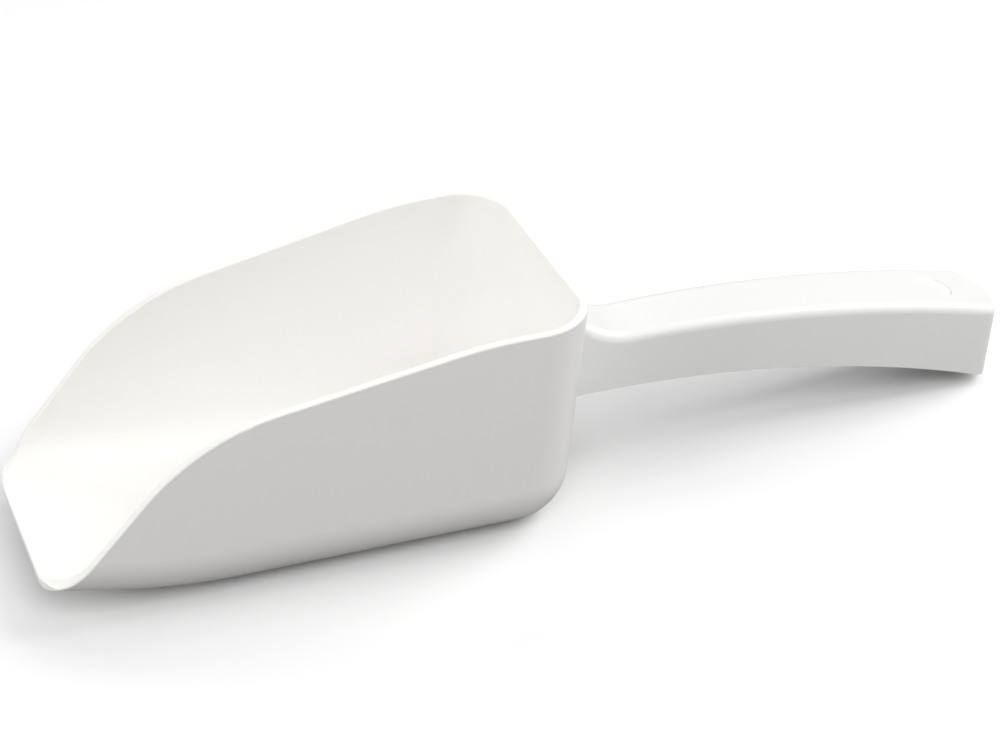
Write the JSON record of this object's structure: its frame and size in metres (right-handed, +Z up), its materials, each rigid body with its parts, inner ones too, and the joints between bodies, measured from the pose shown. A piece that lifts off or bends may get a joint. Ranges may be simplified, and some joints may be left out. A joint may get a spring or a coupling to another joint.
{
  "type": "feed scoop",
  "caption": "Open-fronted hand scoop for feed or grain: a deep drafted bowl with a sloping rim and turned-up toe, on an arched hollow handle.",
  "frame": {"origin": "under the middle of the overall length, on the flat of the base", "axes": "+X from the lip towards the handle, +Y to the side, +Z up out of the bowl's mouth"},
  "size_m": [0.3564, 0.101, 0.0818],
  "materials": {
    "bowl_plastic": "moulded white polypropylene, satin to semi-gloss, slightly translucent, fine scuffs at the lip",
    "handle_plastic": "moulded white polypropylene, satin to semi-gloss, smooth from handling on the crown"
  },
  "bodies": {
    "root": {"bowl": "bowl_plastic", "handle": "handle_plastic"}
  },
  "joints": []
}
